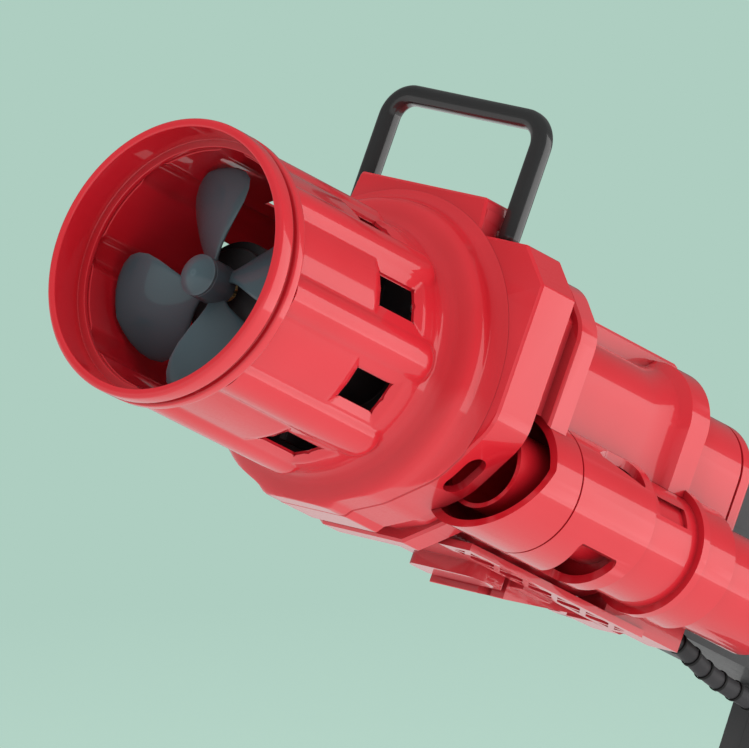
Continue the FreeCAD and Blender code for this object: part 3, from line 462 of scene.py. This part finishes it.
def barrel_outer(angle, y):
    """Outside radius: ribs and panels, window frames and the flange."""
    r = fluted_r(angle, y, panel_r, rib_outer_r, 0.45)
    ahead = barrel_y1 - y
    ring = flange_r(ahead)
    if ring:
        r = -blended(-r, -ring, 0.8 if ahead > soft_flange else 0.01)
        r = max(r, ring)
    depth = max((from_panel_middle(angle) - window_half) / window_soft,
                (window_y0 - y) / frame_width, (y - window_y1) / frame_width)
    if depth < 1:
        r = min(r, recess_r + (panel_r - recess_r) * max(0.0, depth))
    if ahead < clipped_flange:
        r = min(r, outline_r(angle))
    return r


def barrel_inner(angle, y):
    """Inside radius: the ribs' hollows, a little shallower at the front edge."""
    r = fluted_r(angle, y, wall_r, rib_inner_r, 0.8)
    fade = min(1.0, (y - barrel_y0) / 1.5 + 0.6)
    return wall_r + (r - wall_r) * fade


def barrel_angles():
    """Angles of the grid's columns, close together round the window frames."""
    offsets = span([-half_sector, -window_half - window_soft, -window_half, window_half,
                    window_half + window_soft, half_sector], [12, 4, 8, 4, 12])
    angles = []
    for k in range(flute_count):
        middle = (k + 0.5) * sector
        angles += [middle + off for off in offsets[:-1]]
    return angles


def barrel_rows():
    """Lengths of the grid's rows, close together in the frames and the flange."""
    return span([barrel_y0, window_y0 - frame_width, window_y0, window_y1,
                 window_y1 + frame_width, barrel_y1 - flange_start, barrel_y1 - flange[2][0],
                 barrel_y1 - flange[4][0], barrel_y1 - flange[8][0], barrel_y1],
                [26, 4, 12, 4, 4, 12, 5, 9, 8])


def barrel():
    """Fluted tube with a window in each panel and a flange at its rear."""
    angles = barrel_angles()
    rows = barrel_rows()
    outer = [[polar(barrel_outer(a, y), a, y) for a in angles] for y in rows]
    inner = [[polar(barrel_inner(a, y), a, y) for a in angles] for y in rows]
    size = len(angles)
    inside = len(rows) * size
    verts = [p for ring in outer + inner for p in ring]
    faces = []

    def in_window(i, j):
        """Whether the grid's face at column i and row j lies in a window."""
        angle = (angles[i] + angles[i + 1]) / 2 if i + 1 < size else angles[i] + 0.01
        y = (rows[j] + rows[j + 1]) / 2
        return from_panel_middle(angle) < window_half and window_y0 < y < window_y1

    for j in range(len(rows) - 1):
        for i in range(size):
            k = (i + 1) % size
            a, b, c, d = j * size + i, j * size + k, (j + 1) * size + k, (j + 1) * size + i
            if not in_window(i, j):
                faces.append((a, b, c, d))
                faces.append((d + inside, c + inside, b + inside, a + inside))
                continue
            beside = [(a, d, (i - 1) % size, j), (c, b, k, j), (b, a, i, j - 1), (d, c, i, j + 1)]
            for p, q, column, row in beside:
                if not in_window(column, row):
                    faces.append((p, q, q + inside, p + inside))
    last = (len(rows) - 1) * size
    for i in range(size):
        k = (i + 1) % size
        faces.append((k, i, i + inside, k + inside))
        faces.append((last + i, last + k, last + k + inside, last + i + inside))
    verts, faces = outward(verts, faces)
    piece = mesh_object("barrel", verts, faces, 32.0, 0.22)
    finish_piece(piece, "red_plastic", "housing", "fluted_barrel")


# ---- fan -----------------------------------------------------------------

fan_low, fan_high = box_mm("impeller")
cap_low, cap_high = box_mm("hub_cap")
fan_y = (fan_low.y + fan_high.y) / 2
shaft_r = 1.1
blade_count = 4
first_blade = 26
root_pitch, tip_pitch = 34, 22
twist_length = 28.0
blade_half_thick = 0.75
blade_curve = 0.016
blade_set_back = 0.8
blade_points = 28
# radius and half width at steps from a blade's root to its tip
blade_widths = [(5.0, 2.2), (7.0, 3.2), (9.5, 5.2), (12.5, 8.2), (16.0, 11.4), (19.5, 13.9),
                (23.0, 15.2), (26.0, 15.3), (28.6, 13.8), (30.6, 11.2), (32.0, 7.8), (32.9, 4.2),
                (33.2, 1.2)]


def blade_rings(angle):
    """Rings of a bowed, twisted blade that points at the angle."""
    root_r = blade_widths[0][0]
    rings = []
    for r, half in blade_widths:
        turned = (r - root_r) / twist_length
        pitch = math.radians(root_pitch - (root_pitch - tip_pitch) * turned)
        ring = []
        for k in range(blade_points):
            t = TURN * k / blade_points
            across = half * math.cos(t)
            thick = blade_half_thick * math.copysign(abs(math.sin(t)) ** 0.55, math.sin(t))
            bow = blade_curve * across * across - blade_set_back
            side = across * math.cos(pitch) - (thick + bow) * math.sin(pitch)
            rise = across * math.sin(pitch) + (thick + bow) * math.cos(pitch)
            ring.append((r * math.cos(angle) - side * math.sin(angle), fan_y + rise,
                         r * math.sin(angle) + side * math.cos(angle)))
        rings.append(ring)
    return rings


def fan():
    """Hub with its blades."""
    y = cap_high.y
    hub = rounded_profile([(shaft_r, y + 0.3, 0), (5.95, y + 0.3, 0.5), (6.0, y + 9.0, 0.4),
                           (4.2, y + 11.0, 0.4), (shaft_r, y + 11.0, 0)])
    verts, faces = skin(lathe(hub, 64), loop=True)
    for k in range(blade_count):
        more, extra = skin(blade_rings(math.radians(first_blade + 360 / blade_count * k)))
        start = len(verts)
        verts = verts + more
        faces = faces + [tuple(v + start for v in face) for face in extra]
    piece = mesh_object("fan", verts, faces, 50.0)
    finish_piece(piece, "fan_plastic", "fan", "impeller")


def hub_dome():
    """Round cap on the hub's front, hollow behind where the shaft's end sits."""
    dome_r = 9.0
    socket_y = cap_high.y - 1.4
    profile = [Vector((0.001, cap_low.y))]
    for k in range(1, 10):
        a = math.radians(41 * k / 9)
        profile.append(Vector((dome_r * math.sin(a), cap_low.y + dome_r * (1 - math.cos(a)))))
    profile += [Vector((5.9, cap_high.y)), Vector((shaft_r, cap_high.y)),
                Vector((shaft_r, socket_y)), Vector((0.001, socket_y))]
    verts, faces = skin(lathe(profile, 64), loop=True)
    piece = mesh_object("hub_dome", verts, faces)
    finish_piece(piece, "fan_plastic", "fan", "hub_cap")


# ---- carry handle --------------------------------------------------------

def handle_bail():
    """Square wire with rounded edges, bent into a bail with domed feet."""
    low, high = box_mm("carry_handle")
    half = (high.y - low.y) / 2
    leg_x = high.x - half
    middle_y = (high.y + low.y) / 2
    bend = 7.4
    edge_r = 2.1
    leg = high.z - bend - 2 * half - low.z
    section = rounded_profile([(half, half, edge_r), (-half, half, edge_r),
                               (-half, -half, edge_r), (half, -half, edge_r)], 5)

    # middle line of the left half in x and z, each point with its direction inwards
    path = [(Vector((-leg_x, low.z + half + leg * k / 12)), Vector((1, 0))) for k in range(13)]
    corner = Vector((-leg_x + bend, high.z - half - bend))
    for k in range(1, 17):
        a = math.pi / 2 * k / 16
        path.append((corner + Vector((-math.cos(a), math.sin(a))) * bend,
                     Vector((math.cos(a), -math.sin(a)))))
    for place, inward in reversed(list(path)):
        path.append((Vector((-place.x, place.y)), Vector((-inward.x, inward.y))))

    def ring(place, inward, scale):
        return [(place.x + inward.x * s.x * scale, middle_y + s.y * scale,
                 place.y + inward.y * s.x * scale) for s in section]

    def foot_ring(end, step):
        a = math.pi / 2 * step / 6
        return ring(end[0] - Vector((0, half * math.cos(a))), end[1], math.sin(a))

    rings = [foot_ring(path[0], k + 0.4) for k in range(6)]
    rings += [ring(place, inward, 1.0) for place, inward in path]
    rings += [foot_ring(path[-1], 5.6 - k) for k in range(6)]
    verts, faces = skin(rings)
    piece = mesh_object("handle_bail", verts, faces)
    finish_piece(piece, "handle_plastic", "carry_handle", "carry_handle")


# ---- trigger spring ------------------------------------------------------

def trigger_coil():
    """Round wire coil that shortens as the trigger is pulled."""
    low, high = box_mm("trigger_spring")
    wire_r = 0.35
    margin = 0.4
    turns = 6
    count = turns * 28
    coil_r = (high.x - low.x) / 2 - wire_r
    coil_z = (low.z + high.z) / 2
    length = high.y - low.y
    rings = []
    for k in range(count + 1):
        a = TURN * turns * k / count
        y = low.y + margin + (length - 2 * margin) * k / count
        centre = Vector((coil_r * math.cos(a), y, coil_z + coil_r * math.sin(a)))
        out = Vector((math.cos(a), 0, math.sin(a)))
        rings.append([tuple(centre + out * (wire_r * math.cos(t))
                            + Vector((0, wire_r * math.sin(t), 0)))
                      for t in [TURN * m / 10 for m in range(10)]])
    verts, faces = skin(rings)
    piece = mesh_object("trigger_coil", verts, faces)
    finish_piece(piece, "steel", "housing", "trigger_spring")
    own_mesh(piece)


# ---- CAD pieces shown as they are, with softened edges -------------------

soft_edges = {"front_collar": 0.55, "collar_frame": 0.6, "left_shell": 0.5, "right_shell": 0.5,
              "top_rail": 0.45, "rear_cap": 0.6, "bottle_tube_front": 0.4,
              "bottle_tube_rear": 0.5, "belly_plate": 0.35, "belly_truss": 0.15,
              "grip_left": 0.6, "grip_right": 0.6, "trigger": 0.5, "battery_door": 0.4,
              "motor_pod": 0.4, "hose_socket_front": 0.3, "hose_socket_rear": 0.3,
              "switch_body": 0.2, "hose_rings": 0.1}


def soften(obj, width):
    weld = obj.modifiers.new("weld", "WELD")
    weld.merge_threshold = 0.00001
    bevel = obj.modifiers.new("edges", "BEVEL")
    bevel.width = width * MM
    bevel.segments = 3
    bevel.limit_method = "ANGLE"
    bevel.angle_limit = math.radians(32)
    even = obj.modifiers.new("even_shading", "WEIGHTED_NORMAL")
    even.mode = "FACE_AREA_WITH_ANGLE"
    even.weight = 100


def show_cad_nodes():
    """Materials for the nodes that no new piece replaces."""
    for name, obj in frame["nodes"].items():
        if obj.hide_render:
            continue
        obj.data.materials.clear()
        obj.data.materials.append(materials[slots[name]])
        if name in soft_edges:
            soften(obj, soft_edges[name])


# ---- camera --------------------------------------------------------------

def add_camera():
    """Long lens in front of the muzzle, on its left and a little below it."""
    right = Vector((0.738, 0.592, 0.325)).normalized()
    forward = right.cross(Vector((0.1815, 0.3176, -0.931))).normalized()
    down = forward.cross(right).normalized()
    distance = 4.0
    target = Vector((-0.0099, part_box("rim_ring")[0].y + 0.1088, 0.0))
    place = target - forward * distance
    data = bpy.data.cameras.new("camera")
    data.lens = 694.2
    data.clip_end = 50
    camera = bpy.data.objects.new("camera", data)
    bpy.context.scene.collection.objects.link(camera)
    bpy.context.scene.camera = camera
    camera.matrix_world = Matrix((
        (right.x, -down.x, -forward.x, place.x),
        (right.y, -down.y, -forward.y, place.y),
        (right.z, -down.z, -forward.z, place.z),
        (0, 0, 0, 1)))


# ---- light ---------------------------------------------------------------

WHITE = (1.0, 0.99, 0.98, 1)
COOL = (0.95, 1.0, 0.98, 1)
MINT = (0.423, 0.617, 0.533, 1)


def step(tree, value, edge, soft):
    """Rises from 0 to 1 over a soft edge."""
    return remap(tree, value, edge - soft, edge + soft, 0, 1)


def glow(tree, strength, mask=None, colour=WHITE):
    made = node(tree, "Background", values={"Color": colour, "Strength": strength})
    if mask is not None:
        tree.links.new(math_node(tree, "MULTIPLY", mask, strength), made.inputs["Strength"])
    return made.outputs[0]


def together(tree, parts):
    total = parts[0]
    for part in parts[1:]:
        total = node(tree, "AddShader", wires={0: total, 1: part}).outputs[0]
    return total


def choose(tree, factor, first, second):
    return node(tree, "MixShader", wires={0: factor, 1: first, 2: second}).outputs[0]


def add_light():
    """Studio light from the world: one set for diffuse rays, one for glossy, plain behind."""
    world = bpy.data.worlds.new("world")
    bpy.context.scene.world = world
    world.use_nodes = True
    tree = world.node_tree
    tree.nodes.clear()
    ray = node(tree, "TexCoord").outputs["Generated"]
    x, y, z = node(tree, "SeparateXYZ", wires={0: ray}).outputs

    def lobe(direction, start, end):
        """Round soft patch of light centred on one direction."""
        along = dot_product(tree, Vector(direction).normalized(), ray)
        return remap(tree, along, start, end, 0, 1)

    angle = math_node(tree, "ARCTAN2", z, x)
    above = math_node(tree, "SUBTRACT", 1.0, step(tree, angle, math.radians(49), 0.012))
    softbox = step(tree, angle, math.radians(-11), 0.012)
    for limit in (above, step(tree, y, 0.25, 0.02), step(tree, x, 0.05, 0.02)):
        softbox = math_node(tree, "MULTIPLY", softbox, limit)
    lower = remap(tree, z, 0.06, -0.10, 0, 1)

    diffuse_side = together(tree, [
        glow(tree, 0.60, colour=COOL),
        glow(tree, 0.95, lobe((0.80, 0.25, -0.50), 0.30, 0.95)),
        glow(tree, 0.55, lobe((-0.10, -0.20, 1.0), 0.45, 0.95)),
        glow(tree, 0.45, lobe((-0.20, -1.0, 0.30), 0.40, 0.95)),
        glow(tree, 0.50, softbox)])
    glossy_side = together(tree, [
        glow(tree, 0.16, colour=COOL), glow(tree, 0.50, lower), glow(tree, 1.35, softbox)])
    rays = node(tree, "LightPath").outputs
    lit = choose(tree, rays["Is Glossy Ray"], diffuse_side, glossy_side)
    seen = choose(tree, rays["Is Camera Ray"], lit, glow(tree, 1.0, colour=MINT))
    node(tree, "OutputWorld", wires={0: seen})


# ---- floor ---------------------------------------------------------------

def floor_material():
    """Pale painted board that fades out towards its edges and is seen from above only."""
    mat, tree, shader = new_material("pale_floor")
    grain = noise(tree, object_place(tree), 900.0)
    tone = mix_colour(tree, grain, (0.50, 0.70, 0.61, 1), (0.53, 0.73, 0.64, 1))
    tree.links.new(tone, shader.inputs["Base Color"])
    shader.inputs["Roughness"].default_value = 0.8
    from_middle = node(tree, "VectorMath", props={"operation": "LENGTH"},
                       wires={0: node(tree, "TexCoord").outputs["Object"]}).outputs["Value"]
    solid = remap(tree, from_middle, 0.15, 0.75, 1, 0)
    back = node(tree, "NewGeometry").outputs["Backfacing"]
    solid = math_node(tree, "MULTIPLY", solid, math_node(tree, "SUBTRACT", 1.0, back))
    seen = node(tree, "LightPath").outputs["Is Camera Ray"]
    solid = math_node(tree, "MULTIPLY", solid, seen)
    clear = node(tree, "BsdfTransparent").outputs[0]
    surface = choose(tree, solid, clear, shader.outputs[0])
    tree.links.new(surface, tree.nodes["Material Output"].inputs["Surface"])
    return mat


def add_floor():
    """Board below the grip's foot. Over it the muzzle points up by about 28 degrees."""
    low, high = cad_box
    normal = Vector((0, -0.47, 0.88)).normalized()
    gap = 0.04
    middle_y = 0.2
    level = normal.dot(Vector((0, high.y, low.z))) - gap
    cells = 24
    reach = 1.6
    marks = [reach * (k / cells * 2 - 1) for k in range(cells + 1)]
    row = cells + 1
    verts = [(x, y, 0) for y in marks for x in marks]
    faces = [(j * row + i, j * row + i + 1, (j + 1) * row + i + 1, (j + 1) * row + i)
             for j in range(cells) for i in range(cells)]
    mesh = bpy.data.meshes.new("floor")
    mesh.from_pydata(verts, [], faces)
    mesh.materials.append(floor_material())
    floor = bpy.data.objects.new("floor", mesh)
    bpy.context.scene.collection.objects.link(floor)
    floor.rotation_mode = "QUATERNION"
    floor.rotation_quaternion = normal.to_track_quat("Z", "Y")
    floor.location = Vector((0, middle_y, 0)) + normal * (level - normal.y * middle_y)


muzzle_ring()
barrel()
fan()
hub_dome()
handle_bail()
trigger_coil()
show_cad_nodes()
add_camera()
add_light()
add_floor()

bpy.context.scene.view_settings.view_transform = "Standard"
